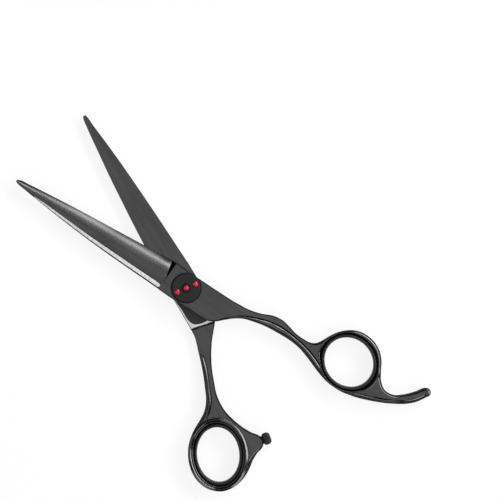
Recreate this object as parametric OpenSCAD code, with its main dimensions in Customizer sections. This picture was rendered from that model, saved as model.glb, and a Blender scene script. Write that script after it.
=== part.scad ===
// Hair cutting shears: two forged halves, a dial tension pivot, ring inserts and a stop.
// Frame: X along the finger blade to its tip, Z up through the dial, origin on the pivot
// axis at the lower rest face. Lengths in millimetres.

/* [Blades] */
// distance from the pivot axis to the blade tips
blade_length = 74.6; // [60:0.2:90]
// angle between the two blades as drawn
open_angle = 26.8; // [0:0.1:60]
// thickness of each half at the pivot
body_thickness = 3.2; // [2.6:0.1:4]
// depth of the hollow ground into each inner blade face
hollow_depth = 0.35; // [0.1:0.05:0.6]

/* [Rings] */
// long inner width of the finger ring, inside its insert
finger_hole_long = 19.2; // [17:0.2:23]
// long inner width of the thumb ring, inside its insert
thumb_hole_long = 20.4; // [18:0.2:24]
// wall of the rubber ring inserts
insert_wall = 1.3; // [1:0.1:1.8]
// metal wall of both rings outside the insert
rim_wall = 2.2; // [1.8:0.1:3]
// height of the metal rings
ring_height = 6; // [5:0.1:6]

/* [Pivot] */
// diameter of the tension dial
dial_diameter = 11.3; // [10:0.1:13]
// height of the tension dial
dial_height = 1.7; // [1.3:0.1:2.5]
// diameter of the pivot journal
pivot_diameter = 5; // [4.4:0.1:5.4]
// wall of the plastic pivot bush
bush_wall = 0.8; // [0.6:0.1:1]
// diameter of the round crystals
crystal_diameter = 2.4; // [1.6:0.1:2.6]
// distance of the outer crystals from the dial centre
crystal_spacing = 3.7; // [3.5:0.1:4]
// turn of the crystal row on the dial
dial_turn = 56; // [0:1:180]
// number of click holes in the detent plate
click_count = 16; // [8:1:20]

/* [Stop] */
// diameter of the knurled stop cap
stop_diameter = 4.6; // [4:0.1:5.2]
// length of the knurled stop cap
stop_length = 3; // [2:0.1:3.2]
// number of knurl ridges round the stop cap
stop_ridges = 22; // [12:1:32]

/* [Hidden] */
$fn = 96;
eps = 0.01;
gap = 0.02;
ride = body_thickness;
top = 2 * body_thickness;
zin = ride + gap;
thick_k = body_thickness / 3.2;
ring_top = ride + ring_height / 2;
ring_low = ride - ring_height / 2;
heel_x = 9.4;
finger_c = [-65.7, -9.0];
thumb_c = [-59.1, -21.6];
finger_k = 0.906;
thumb_k = 0.775;
finger_turn = -16;
thumb_turn = 25;
finger_seat = finger_hole_long / 2 + insert_wall;
thumb_seat = thumb_hole_long / 2 + insert_wall;
finger_grow = (finger_seat + rim_wall) / 13.1;
thumb_grow = (thumb_seat + rim_wall) / 13.7;
head_d = pivot_diameter + 2.4;
head_h = 1.1;
bush_od = pivot_diameter + 2 * bush_wall;
well_d = dial_diameter - 1.7;
well_h = 1.25;
well_z = top - well_h;
flange_h = 0.35;
spring_z = well_z + flange_h;
spring_h = 0.5;
plate_z = spring_z + spring_h;
plate_h = 0.45;
dial_z = plate_z + plate_h;
dial_top = dial_z + dial_height;
thread_d = 3.4;
stop_base = grown([-62.9, -5.05], thumb_c, thumb_grow);
collar_d = stop_diameter - 1.4;
click_r = well_d / 2 - 1.2;
stop_turn = 101;
neck_h = 0.5;

// Blade rows: x, spine y, edge y, crest height, bevel width, bevel drop, edge height, roundness of the outer face
finger_blade = [
  [74.6, 0.42, -0.42, 1.00, 0.10, 0.12, 0.50, 2.0],
  [73.8, 0.70, -0.80, 1.08, 0.14, 0.18, 0.25, 2.0],
  [70.0, 1.25, -1.30, 1.25, 0.16, 0.18, 0.12, 2.0],
  [60.0, 2.45, -2.30, 1.60, 0.75, 0.40, 0.10, 2.0],
  [50.0, 3.50, -3.15, 1.95, 1.10, 0.50, 0.10, 2.0],
  [40.0, 4.35, -3.85, 2.25, 1.30, 0.60, 0.10, 2.1],
  [30.0, 4.95, -4.50, 2.55, 1.50, 0.70, 0.10, 2.3],
  [20.0, 5.40, -5.20, 2.85, 1.60, 0.80, 0.10, 2.4],
  [12.0, 5.70, -5.75, 3.05, 1.65, 0.85, 0.10, 2.5],
  [9.4, 5.85, -5.85, 3.12, 1.65, 0.85, 0.15, 2.6]
];
thumb_blade = [
  [74.4, 0.80, -0.25, 1.00, 0.10, 0.12, 0.50, 2.0],
  [73.6, 1.00, -0.55, 1.08, 0.14, 0.18, 0.25, 2.0],
  [70.0, 1.30, -1.10, 1.25, 0.30, 0.25, 0.12, 2.0],
  [60.0, 2.30, -2.20, 1.60, 0.75, 0.40, 0.10, 2.0],
  [50.0, 3.10, -3.25, 1.95, 1.10, 0.50, 0.10, 2.0],
  [40.0, 3.75, -4.05, 2.25, 1.30, 0.60, 0.10, 2.1],
  [30.0, 4.30, -4.80, 2.55, 1.50, 0.70, 0.10, 2.3],
  [20.0, 4.75, -5.40, 2.85, 1.60, 0.80, 0.10, 2.4],
  [12.0, 5.10, -5.80, 3.05, 1.65, 0.85, 0.10, 2.5],
  [9.4, 5.25, -5.90, 3.12, 1.65, 0.85, 0.15, 2.6]
];

// Handle rows: left x y, right x y, outer rounding left and right, inner rounding left and right
finger_handle = [
  [8.4, 5.9, 7.8, -5.85, 0.4, 0.4, 0.1, 0.1],
  [2.3, 6.15, 2.3, -5.5, 0.4, 0.4, 0.1, 0.1],
  [-4.5, 6.15, -4.5, -5.4, 0.4, 0.4, 0.1, 0.1],
  [-10.0, 6.15, -10.5, -5.25, 0.4, 0.4, 0.1, 0.1],
  [-13.1, 6.0, -14.5, -5.2, 0.4, 0.4, 0.1, 0.1],
  [-15.9, 4.55, -18.0, -5.2, 0.5, 0.4, 0.2, 0.2],
  [-18.4, 2.3, -20.5, -5.4, 0.8, 0.4, 0.3, 0.3],
  [-21.0, 0.1, -23.1, -5.55, 1.0, 0.4, 0.6, 0.4],
  [-23.7, -1.5, -25.6, -6.0, 1.3, 0.4, 0.9, 0.6],
  [-27.8, -2.75, -29.0, -7.0, 1.9, 0.4, 1.6, 1.2],
  [-33.0, -3.7, -32.6, -8.5, 2.6, 0.4, 1.8, 1.4],
  [-37.5, -4.0, -36.6, -9.0, 2.9, 0.4, 1.8, 1.4],
  [-41.5, -4.1, -40.3, -8.25, 2.6, 0.4, 1.8, 1.4],
  [-45.0, -3.9, -43.4, -7.45, 2.3, 0.4, 1.6, 1.2],
  [-48.0, -3.35, -46.8, -7.25, 2.3, 0.4, 1.6, 1.2],
  [-51.0, -2.4, -49.2, -7.35, 2.5, 0.5, 1.8, 1.4],
  [-54.2, -1.2, -51.1, -8.05, 2.5, 0.7, 1.9, 1.6],
  [-57.0, -0.1, -52.6, -9.7, 2.4, 1.1, 2.0, 1.8],
  [-59.0, 0.6, -53.5, -11.4, 2.3, 1.5, 2.0, 2.0],
  [-61.0, 1.2, -54.4, -13.2, 2.2, 1.8, 2.0, 2.0],
  [-63.3, 1.7, -56.4, -16.3, 2.0, 2.0, 2.0, 2.0],
  [-66.0, 1.9, -59.6, -19.2, 2.0, 2.0, 2.0, 2.0],
  [-69.0, 1.85, -63.4, -20.8, 2.0, 2.0, 2.0, 2.0],
  [-72.2, 1.3, -68.2, -20.8, 1.9, 2.0, 1.9, 2.0],
  [-75.5, 0.5, -72.7, -18.9, 1.8, 2.0, 1.8, 2.0],
  [-78.2, -0.4, -75.6, -16.0, 1.6, 1.9, 1.8, 2.0],
  [-80.8, -1.4, -77.6, -12.5, 1.3, 1.6, 1.8, 1.8],
  [-83.2, -2.4, -79.7, -9.3, 1.1, 1.2, 1.6, 1.4],
  [-85.6, -3.5, -82.4, -7.4, 1.1, 0.9, 1.4, 1.2],
  [-88.2, -4.9, -85.8, -7.4, 1.1, 0.8, 1.2, 1.1],
  [-91.5, -6.9, -89.3, -9.7, 1.2, 0.9, 1.2, 1.1],
  [-94.8, -9.9, -92.3, -12.9, 1.2, 0.9, 1.2, 1.1],
  [-97.1, -13.4, -95.0, -16.2, 1.1, 0.9, 1.1, 0.9],
  [-97.6, -14.2, -95.8, -16.5, 0.9, 0.8, 0.9, 0.8],
  [-97.7, -14.9, -96.6, -16.4, 0.6, 0.5, 0.6, 0.5],
  [-97.6, -15.5, -97.2, -16.0, 0.2, 0.2, 0.2, 0.2]
];
thumb_handle = [
  [8.4, 5.3, 7.8, -5.95, 0.4, 0.4, 0.1, 0.1],
  [2.3, 5.3, 2.3, -6.2, 0.4, 0.4, 0.1, 0.1],
  [-4.5, 5.35, -4.5, -6.35, 0.4, 0.4, 0.1, 0.1],
  [-10.0, 5.2, -10.5, -6.4, 0.4, 0.4, 0.1, 0.1],
  [-13.4, 4.4, -14.2, -6.5, 0.5, 0.4, 0.1, 0.1],
  [-16.2, 2.7, -17.4, -6.75, 0.8, 0.6, 0.2, 0.1],
  [-18.7, 0.6, -20.0, -7.5, 1.2, 0.9, 0.3, 0.2],
  [-21.5, -1.75, -22.7, -8.4, 1.6, 1.2, 0.3, 0.4],
  [-25.2, -4.3, -26.0, -9.45, 1.9, 1.6, 0.4, 1.1],
  [-30.0, -6.95, -31.0, -11.25, 2.0, 1.8, 0.4, 1.6],
  [-35.0, -9.0, -35.5, -13.2, 2.0, 1.8, 0.4, 2.0],
  [-39.6, -10.6, -39.3, -15.0, 2.0, 1.8, 0.5, 2.2],
  [-43.3, -11.15, -41.6, -16.7, 2.0, 1.9, 0.6, 2.2],
  [-46.5, -11.1, -43.4, -18.7, 2.0, 2.0, 0.8, 2.1],
  [-49.5, -10.5, -44.8, -21.1, 2.0, 2.0, 0.9, 2.0],
  [-52.5, -9.6, -46.1, -23.6, 1.8, 2.0, 0.9, 2.0],
  [-55.5, -8.4, -47.6, -26.0, 1.5, 2.0, 0.9, 2.0],
  [-58.3, -6.9, -49.4, -28.2, 1.1, 2.0, 0.8, 2.0],
  [-60.8, -5.05, -51.6, -30.1, 0.7, 2.0, 0.6, 2.0],
  [-61.5, -4.75, -54.2, -31.7, 0.6, 2.0, 0.5, 2.0],
  [-64.5, -5.3, -57.4, -32.9, 0.6, 2.0, 0.5, 2.0],
  [-65.1, -6.0, -60.0, -33.4, 0.5, 2.0, 0.5, 2.0],
  [-66.0, -8.6, -62.8, -33.4, 1.4, 2.0, 1.3, 2.0],
  [-67.4, -11.4, -65.6, -32.7, 1.9, 2.0, 1.9, 2.0],
  [-69.2, -13.8, -68.1, -31.3, 2.0, 2.0, 2.0, 2.0],
  [-70.9, -16.6, -70.2, -29.3, 2.0, 2.0, 2.0, 2.0],
  [-72.0, -19.4, -71.7, -26.9, 2.0, 2.0, 2.0, 2.0],
  [-72.45, -21.6, -72.35, -24.4, 2.0, 2.0, 2.0, 2.0]
];

function mix(a, b, t) = a + (b - a) * t;
function clamp(v) = max(0, min(1, v));
function ease(v) = clamp(v) * clamp(v) * (3 - 2 * clamp(v));
function unit(v) = v / max(norm(v), 0.0001);
function spline(a, b, c, d, t) =
  0.5 * (2 * b + (c - a) * t + (2 * a - 5 * b + 4 * c - d) * t * t + (3 * b - a - 3 * c + d) * t * t * t);
function smooth(r, m) = concat(
  [for (i = [0:len(r) - 2]) for (j = [0:m - 1])
    spline(r[max(i - 1, 0)], r[i], r[i + 1], r[min(i + 2, len(r) - 1)], j / m)],
  [r[len(r) - 1]]);

// A blade section: hollow inner face, spine wall, ground bevel, convex outer face, edge.
function blade_x(x) = heel_x + (x - heel_x) * (blade_length - heel_x) / (74.6 - heel_x);
// The last row slants, so that the ground step at the heel is a wedge, widest at the edge.
function heel_rake(x, y) = clamp((12 - x) / 2.6) * (0.22 * max(0, 0.9 - y) - 0.95);
face_s = [0, 0.10, 0.25, 0.40, 0.52, 0.64, 0.75, 0.85, 0.93, 1];
function blade_section(r) =
  let (
    x = blade_x(r[0]),
    w = r[1] - r[2],
    m = (r[1] + r[2]) / 2,
    t = r[3] * thick_k,
    bw = r[4],
    bd = r[5] * thick_k,
    te = r[6] * thick_k,
    hd = hollow_depth * min(1, w / 8),
    dk = 0.3 * bw,
    y0 = r[1] - dk - bw)
  [for (p = concat(
    [[m + 0.15 * w, hd],
     [m + 0.33 * w, 0.6 * hd],
     [r[1] - 0.09 * w, 0],
     [r[1], 0],
     [r[1], 0.55 * (t - bd)],
     [r[1] - dk, t - bd]],
    [for (s = [0:8]) [mix(y0, r[2], face_s[s]), te + (t - te) * (1 - pow(face_s[s], r[7]))]],
    [[r[2], te],
     [r[2], 0],
     [r[2] + 0.09 * w, 0],
     [m - 0.33 * w, 0.6 * hd],
     [m - 0.15 * w, hd]]))
    [x + heel_rake(r[0], p[0]), p[0], zin + p[1]]];

// Heights of the handle: the inner face steps back behind the ride, then both faces ease to the ring.
// The rest is thinner than the ring, and its end is a dome.
function rest_end(p) = let (u = clamp((-(0.8 * p[0] + 0.6 * p[1]) - 85.7) / 1.8)) 1.2 * (1 - sqrt(1 - 0.98 * u * u));
function waist(p) = 0.5 * ease((-20 - p[0]) / 9) * ease((p[0] + 50) / 8) + 1.3 * ease((-84 - p[0]) / 13) + rest_end(p);
function inner_z(p) =
  p[0] > -20.5 ? zin + 0.22 * ease((-15.3 - 0.22 * p[1] - p[0]) / 0.5)
               : mix(zin + 0.22, ring_low, ease((-20.5 - p[0]) / 19.5)) + waist(p);
function outer_z(p) = mix(top, ring_top, ease((-16 - p[0]) / 14)) - waist(p);

// Grow the ring part of an outline about the ring centre.
function grown(p, c, k) = p + clamp((30 - norm(p - c)) / 14) * (k - 1) * (p - c);

function side_points(p, n, g, f) =
  let (
    zb = inner_z(p),
    zt = outer_z(p),
    hb = min(g, 0.45 * (zt - zb)),
    ht = min(f, 0.45 * (zt - zb)))
  concat(
    [for (a = [90, 60, 30, 0]) let (q = p + n * g * (1 - cos(a))) [q[0], q[1], zb + hb * (1 - sin(a))]],
    [for (a = [0, 30, 60, 90]) let (q = p + n * f * (1 - cos(a))) [q[0], q[1], zt - ht * (1 - sin(a))]]);

function handle_sections(rows, c, k) =
  let (
    last = len(rows) - 1,
    lp = [for (r = rows) grown([r[0], r[1]], c, k)],
    rp = [for (r = rows) grown([r[2], r[3]], c, k)])
  [for (i = [0:last])
    let (
      tl = unit(lp[min(i + 1, last)] - lp[max(i - 1, 0)]),
      tr = unit(rp[min(i + 1, last)] - rp[max(i - 1, 0)]),
      ls = side_points(lp[i], [-tl[1], tl[0]], rows[i][6], rows[i][4]),
      rs = side_points(rp[i], [tr[1], -tr[0]], rows[i][7], rows[i][5]))
    concat(
      [mix(ls[0], rs[0], 0.2)],
      ls,
      [mix(ls[7], rs[7], 0.2), mix(ls[7], rs[7], 0.8)],
      [for (j = [7:-1:0]) rs[j]],
      [mix(ls[0], rs[0], 0.8)])];

// One half as a skin over its sections, from the tip to the far side of the ring.
module skin(sections) {
  n = len(sections);
  k = 20;
  points = [for (s = sections) for (p = s) p];
  sides = [for (i = [0:n - 2]) for (j = [0:k - 1]) for (h = [0, 1])
    let (a = i * k + j, b = i * k + (j + 1) % k, c = a + k, d = b + k)
    h == 0 ? [a, b, d] : [a, d, c]];
  tip = concat(
    [for (j = [10:k - 2]) [9, j + 1, j]],
    [[9, 0, k - 1]],
    [for (j = [0:7]) [9, j + 1, j]]);
  base = (n - 1) * k;
  low = [for (q = [[1, 0], [0, 19], [19, 18], [18, 17]]) [base + 2, base + q[0], base + q[1]]];
  high = [for (q = [[8, 9], [9, 10], [10, 11], [11, 12]]) [base + 7, base + q[0], base + q[1]]];
  mid = [for (j = [2:6]) for (h = [0, 1])
    let (a = base + j, b = base + j + 1, c = base + k - 2 - j, d = base + k - 1 - j)
    h == 0 ? [a, b, c] : [a, c, d]];
  tail = concat(
    [for (f = low) [f[0], f[2], f[1]]],
    mid,
    [for (f = high) f]);
  polyhedron(points = points, faces = concat(sides, tip, tail), convexity = 8);
}

// Oval ring drawn in flat facets, so that an insert and its seat share the same faces.
oval_n = 48;
function oval_at(r, k, z) = [for (i = [0:oval_n - 1])
  [r * cos(i * 360 / oval_n), r * k * sin(i * 360 / oval_n), z]];

module oval_plug(k, rows) {
  n = len(rows);
  points = [for (r = rows) for (p = oval_at(r[0], k, r[1])) p];
  sides = [for (i = [0:n - 2]) for (j = [0:oval_n - 1]) for (h = [0, 1])
    let (a = i * oval_n + j, b = i * oval_n + (j + 1) % oval_n, c = a + oval_n, d = b + oval_n)
    h == 0 ? [a, d, b] : [a, c, d]];
  floor_face = [for (j = [1:oval_n - 2]) [0, j, j + 1]];
  m = (n - 1) * oval_n;
  roof_face = [for (j = [1:oval_n - 2]) [m, m + j + 1, m + j]];
  polyhedron(points = points, faces = concat(sides, floor_face, roof_face), convexity = 4);
}

module oval_band(k, rows) {
  n = len(rows);
  points = [for (r = rows) for (p = oval_at(r[0], k, r[1])) p];
  sides = [for (i = [0:n - 1]) for (j = [0:oval_n - 1]) for (h = [0, 1])
    let (
      i2 = (i + 1) % n,
      a = i * oval_n + j,
      b = i * oval_n + (j + 1) % oval_n,
      c = i2 * oval_n + j,
      d = i2 * oval_n + (j + 1) % oval_n)
    h == 0 ? [a, d, b] : [a, c, d]];
  polyhedron(points = points, faces = sides, convexity = 4);
}

module oval_hole(c, turn, k, r) {
  h = ring_height / 2;
  translate([c[0], c[1], ride])
  rotate([0, 0, turn])
  oval_plug(k, [[r + 1.5, -h - 1], [r, 0.5 - h], [r, h - 0.5], [r + 1.5, h + 1]]);
}

module oval_insert(c, turn, k, r) {
  h = ring_height / 2;
  w = insert_wall;
  translate([c[0], c[1], ride])
  rotate([0, 0, turn])
  oval_band(k, [
    [r, 0.5 - h], [r, h - 0.5], [r - 0.2, h - 0.1], [r - 0.4, h + 0.15],
    [r - 0.5 * w, h + 0.2], [r - 0.8 * w, h - 0.1], [r - 0.95 * w, h - 0.6], [r - w, h - 1.2],
    [r - w, 1.2 - h], [r - 0.95 * w, 0.6 - h], [r - 0.8 * w, 0.1 - h], [r - 0.5 * w, -h - 0.2],
    [r - 0.4, -h - 0.15], [r - 0.2, 0.1 - h]]);
}

// The flat ride round the pivot stands proud of a shallow pocket behind it.
module ride_pocket() {
  linear_extrude(height = zin + 0.16)
  polygon([
    [-2.4, -6.0], [-6.2, -5.7], [-11.0, -5.5], [-12.6, -4.9], [-13.6, -3.6], [-14.2, -1.8], [-14.4, 0],
    [-14.1, 1.6], [-13.4, 2.9], [-12.2, 3.7], [-10.6, 4.1], [-5.0, 4.1],
    [-5.3, 2.0], [-5.6, 0], [-5.2, -2.1], [-4.1, -3.8], [-2.4, -5.1]]);
}

module thumb_place() {
  rotate([0, 0, -open_angle])
  translate([0, 0, top])
  rotate([180, 0, 0])
  children();
}

module finger_half() {
  color("#3a3b3d")
  difference() {
    skin(concat(
      [for (r = finger_blade) blade_section(r)],
      handle_sections(smooth(finger_handle, 2), finger_c, finger_grow)));
    ride_pocket();
    translate([0, 0, ride - 1]) cylinder(h = body_thickness + 2, d = bush_od);
    translate([0, 0, well_z]) cylinder(h = well_h + 1, d = well_d);
    oval_hole(finger_c, finger_turn, finger_k, finger_seat);
  }
}

module thumb_half() {
  color("#343537")
  thumb_place()
  difference() {
    skin(concat(
      [for (r = thumb_blade) blade_section(r)],
      handle_sections(smooth(thumb_handle, 2), thumb_c, thumb_grow)));
    ride_pocket();
    translate([0, 0, ride - 1]) cylinder(h = body_thickness + 2, d = pivot_diameter);
    translate([0, 0, top - head_h]) cylinder(h = head_h + 1, d = head_d);
    translate([0, 0, ride - 1]) cylinder(h = 1 + gap + 0.3, d = bush_od + 2);
    oval_hole(thumb_c, thumb_turn, thumb_k, thumb_seat);
    translate([stop_base[0], stop_base[1], ride])
      rotate([0, 0, stop_turn])
      rotate([0, 90, 0])
      union() {
        translate([0, 0, -3]) cylinder(h = 4, d = 1.8);
        translate([0, 0, -0.35]) cylinder(h = 2, d = collar_d);
      }
  }
}

module pivot_post() {
  color("#2b2c2e")
  difference() {
    rotate_extrude()
    polygon([
      [0, 0], [head_d / 2 - 0.2, 0], [head_d / 2, 0.2], [head_d / 2, head_h],
      [pivot_diameter / 2, head_h], [pivot_diameter / 2, dial_z], [thread_d / 2, dial_z],
      [thread_d / 2, dial_top + 0.1], [thread_d / 2 - 0.15, dial_top + 0.25], [0, dial_top + 0.25]]);
    translate([0, 0, dial_top - 0.6]) cylinder(h = 2, d = crystal_diameter);
    for (a = [0, 180])
      rotate([0, 0, a])
      translate([head_d * 0.32, 0, -1])
      cylinder(h = 1.6, d = 1);
  }
}

module ride_washer() {
  color("#d8d4c8")
  difference() {
    translate([0, 0, ride - gap - 0.3]) cylinder(h = 0.3 + 2 * gap, d = bush_od + 2);
    translate([0, 0, ride - 1]) cylinder(h = 2, d = pivot_diameter);
  }
}

module pivot_bush() {
  color("#e4e0d4")
  difference() {
    union() {
      translate([0, 0, zin]) cylinder(h = well_z - zin + eps, d = bush_od);
      translate([0, 0, well_z]) cylinder(h = flange_h, d = well_d - 0.6);
    }
    translate([0, 0, ride - 1]) cylinder(h = body_thickness + 2, d = pivot_diameter + 0.04);
  }
}

module spring_washer() {
  color("#8c8f94")
  rotate_extrude()
  polygon([
    [pivot_diameter / 2 + 0.05, spring_h + spring_z - 0.25], [well_d / 2 - 0.7, spring_z],
    [well_d / 2 - 0.4, spring_z], [well_d / 2 - 0.4, spring_z + 0.2],
    [pivot_diameter / 2 + 0.35, spring_z + spring_h], [pivot_diameter / 2 + 0.05, spring_z + spring_h]]);
}

module click_plate() {
  color("#75787d")
  difference() {
    translate([0, 0, plate_z]) cylinder(h = plate_h, d = well_d - 0.6);
    translate([0, 0, plate_z - 1]) cylinder(h = 3, d = pivot_diameter);
    for (i = [0:click_count - 1])
      rotate([0, 0, dial_turn + 90 + i * 360 / click_count])
      translate([click_r, 0, plate_z - 1])
      cylinder(h = 3, d = 0.8);
  }
}

module click_ball() {
  color("#b0b3b8")
  rotate([0, 0, dial_turn + 90])
  translate([click_r, 0, dial_z + 0.5])
  sphere(d = 1);
}

module tension_dial() {
  color("#232624")
  difference() {
    rotate_extrude()
    polygon([
      [0, dial_z], [well_d / 2 - 0.3, dial_z], [well_d / 2 - 0.3, top + 0.06],
      [dial_diameter / 2 - 0.15, top + 0.06], [dial_diameter / 2, top + 0.2],
      [dial_diameter / 2, dial_top - 0.45], [dial_diameter / 2 - 0.4, dial_top - 0.05],
      [dial_diameter / 2 - 0.6, dial_top], [0, dial_top]]);
    translate([0, 0, dial_z - 1]) cylinder(h = dial_height + 2, d = thread_d);
    for (s = [-1, 1])
      rotate([0, 0, dial_turn])
      translate([s * crystal_spacing, 0, dial_top - 0.6])
      cylinder(h = 2, d = crystal_diameter);
    rotate([0, 0, dial_turn + 90])
      translate([click_r, 0, dial_z - eps])
      cylinder(h = 1 + eps, d = 1);
  }
}

module crystal_at(p) {
  translate([p, 0, dial_top - 0.6])
  rotate_extrude()
  polygon([
    [0, 0], [crystal_diameter / 2, 0], [crystal_diameter / 2, 0.65],
    [crystal_diameter / 2 - 0.45, 1.0], [0, 1.05]]);
}

module centre_crystal() {
  color("#c0122f")
  rotate([0, 0, dial_turn]) crystal_at(0);
}

module left_crystal() {
  color("#c0122f")
  rotate([0, 0, dial_turn]) crystal_at(crystal_spacing);
}

module right_crystal() {
  color("#c0122f")
  rotate([0, 0, dial_turn]) crystal_at(-crystal_spacing);
}

module finger_ring_insert() {
  color("#1c1c1d")
  oval_insert(finger_c, finger_turn, finger_k, finger_seat);
}

module thumb_ring_insert() {
  color("#1c1c1d")
  thumb_place()
  oval_insert(thumb_c, thumb_turn, thumb_k, thumb_seat);
}

module along_stop() {
  thumb_place()
  translate([stop_base[0], stop_base[1], ride])
  rotate([0, 0, stop_turn])
  rotate([0, 90, 0])
  children();
}

module stop_stud() {
  color("#2b2c2e")
  along_stop()
  union() {
    translate([0, 0, -3]) cylinder(h = 3 + neck_h + 1.8, d = 1.8);
    translate([0, 0, -0.35]) cylinder(h = 0.35 + neck_h, d = collar_d);
  }
}

module stop_cap() {
  color("#161617")
  along_stop()
  difference() {
    intersection() {
      translate([0, 0, neck_h])
        linear_extrude(height = stop_length)
        polygon([for (i = [0:2 * stop_ridges - 1])
          let (r = stop_diameter / 2 - (i % 2) * 0.22, a = i * 180 / stop_ridges)
          [r * cos(a), r * sin(a)]]);
      translate([0, 0, neck_h])
        rotate_extrude()
        polygon([
          [0, 0], [stop_diameter / 2 - 0.4, 0], [stop_diameter / 2 + 0.1, 0.4],
          [stop_diameter / 2 + 0.1, stop_length - 0.7], [stop_diameter / 2 - 0.3, stop_length - 0.15],
          [stop_diameter / 2 - 0.9, stop_length], [0, stop_length]]);
    }
    translate([0, 0, neck_h - 1]) cylinder(h = 2.8, d = 1.8);
  }
}

finger_half();
thumb_half();
pivot_post();
ride_washer();
pivot_bush();
spring_washer();
click_plate();
click_ball();
tension_dial();
centre_crystal();
left_crystal();
right_crystal();
finger_ring_insert();
thumb_ring_insert();
stop_stud();
stop_cap();
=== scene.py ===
"""Hair cutting shears: ground black steel, rubber ring inserts, and a dial with three red stones."""
import math

import bmesh
import bpy
import numpy as np
from mathutils import Matrix


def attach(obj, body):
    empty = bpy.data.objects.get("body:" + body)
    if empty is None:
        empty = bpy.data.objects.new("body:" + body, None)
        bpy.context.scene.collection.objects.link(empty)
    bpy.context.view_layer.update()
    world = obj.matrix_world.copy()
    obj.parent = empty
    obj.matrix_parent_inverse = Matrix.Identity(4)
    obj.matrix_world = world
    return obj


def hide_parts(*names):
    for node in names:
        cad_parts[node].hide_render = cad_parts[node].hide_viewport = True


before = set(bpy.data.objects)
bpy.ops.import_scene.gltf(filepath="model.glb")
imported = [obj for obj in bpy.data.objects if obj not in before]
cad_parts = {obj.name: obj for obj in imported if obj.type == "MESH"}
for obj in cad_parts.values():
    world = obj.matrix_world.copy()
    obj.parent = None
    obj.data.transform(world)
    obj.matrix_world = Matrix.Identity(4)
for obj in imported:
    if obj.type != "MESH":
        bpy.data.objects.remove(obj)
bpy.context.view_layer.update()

# ------------ sizes, in millimetres and degrees
# Each half is drawn in its own frame, inner face down; the thumb half is then turned over and opened.
RIDE = 3.2  # the plane that the halves slide on
TOP = 6.4  # the body's outer face
INNER = 3.22  # a half's inner face
WEB_TOP, WEB_LOW = 5.75, 0.65  # the two faces of the flat web round a ring
OPEN = 26.8  # the opening at rest

HOLLOW, HOLLOW_SHARE = 0.35, 0.41  # depth of the hollow grind, and half its width over the blade's
HOLLOW_FULL = 8  # the blade's width from which the hollow has its whole depth
HOLLOW_FADE = (9.4, 6)  # the x where it ends at the heel, and over what length
SPINE_CORNER = (0.22, 0.03)  # the inner corner's bevel at most, and as a share of the width
BEVEL_LEAN = 0.3  # how far the spine's wall leans in, as a share of the bevel's width
STRIP_SPAN = (8.85, 66.0)  # from where to where the bevel is left bright
STRIP_SHARE, STRIP_MID, STRIP_ROUND = 0.82, 0.42, 0.45  # its share of the bevel, middle, and end rounding
LINE_SHARE, LINE_LONG = 0.12, 0.2  # the line round it, painted shade: share of the bevel, and length at its heel end
HEEL_X, HEEL_LONG = 12.0, 2.6  # where the blade's sections begin to lean, and over what length
HEEL_LEAN, HEEL_SHIFT, HEEL_Y = 0.22, 0.95, 0.9  # slope of the lean under HEEL_Y, and the move back
FALL, FALL_X, FALL_LONG = 0.14, 11.8, 2.4  # the outer face's fall at the heel: share, start and length
STEP_SHADE_Y = 0.95  # the ground step gets painted shade below this y

STEP_X, STEP_LEAN = -15.3, 0.22  # the line where the ride ends behind the pivot, and its slant
STEP_LONG, STEP_DEEP = 0.4, 0.22  # length and depth of the step there
RECESS_DEEP = 0.16  # the recess inside the ride
RECESS_ARC = (5.6, 159, 245)  # its side round the pivot: radius, first and last angle

LEAST_ROUND, ROUND_SHARE = 0.05, 0.45  # a side's least rounding, and its height at most over the thickness
ROUND_FROM, FLAT_TO = 1.1, 0.6  # a corner is rounded from this rounding up, and a flat bevel up to this one
FURROW_WALL, FURROW_REACH = 0.3, 0.8  # widths of the steep wall and of the ramp beside it
CREASE_DEEP, FLUTE_DEEP = 0.6, 0.56
CREASE_IN, CREASE_OUT = (-17, 7), (-92, 8)  # where the crease grows and ends, and over what lengths
FLUTE_TOP, FLUTE_ROUND = -23.4, 2.6  # where the flute starts, and the length of its round top
FLUTE_OUT = (-52, 14)  # where it ends, and over what length it fades
FLUTE_SIDE = (0.25, 1.95)  # the rounding beside its top, at least and at most
OUTER_EASE, INNER_EASE = (-16, 14), (-20.5, 19.5)  # where each face leaves the body, and over what length
REST_THIN, REST_X, REST_LONG = 0.85, -84, 13  # how much each side of the rest thins, from where, how long
DOME, DOME_AT, DOME_LONG = 1.2, 85.7, 1.8  # the end of the rest: its drop, start and length along REST_WAY
REST_WAY = (-0.8, -0.6)

# The rings: centre and turn of the hole, its short side over its long one, and its long half without the insert
FINGER_RING = dict(centre=(-65.7, -9.0), turn=-16, k=0.906, seat=10.9)
THUMB_RING = dict(centre=(-59.1, -21.6), turn=25, k=0.775, seat=11.5)
RIM_REACH, RIM_UNIT = 2.26, 2.27  # the widest rim, and the width that its section is drawn for
HOLE_HALF, FLARE_FROM, FLARE = 3.3, 2.5, 0.5  # half length of the hole's cutter, and the flare at each end
INSERT_HALF, INSERT_WALL = 3.0, 1.3

SCREW_R, JOURNAL_R = 1.7, 2.5  # the pivot's threaded end and its plain shank
HEAD_R, HEAD_H = 3.7, 1.1
WASHER_D, BUSH_D = 8.6, 6.6
PLATE_WELL_D, PLATE_WELL_Z = 9.6, 5.15  # the well under the dial
KEY_HOLE_D, KEY_HOLE_STEP = 1.0, 2.37  # the two holes in the pivot's head
DIAL_R, DIAL_WELL_R = 5.65, 4.5
DIAL_Z, DIAL_GAP, DIAL_TOP = 6.45, 0.06, 8.15
DIAL_TURN = 56
BALL_D, BALL_OUT = 1.0, 3.6
STONE_D, STONE_STEP, STONE_DEEP = 2.4, 3.7, 0.6
STOP_PLACE, STOP_TURN, STOP_RIDGES = (-62.9, -5.05), 101, 22

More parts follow.
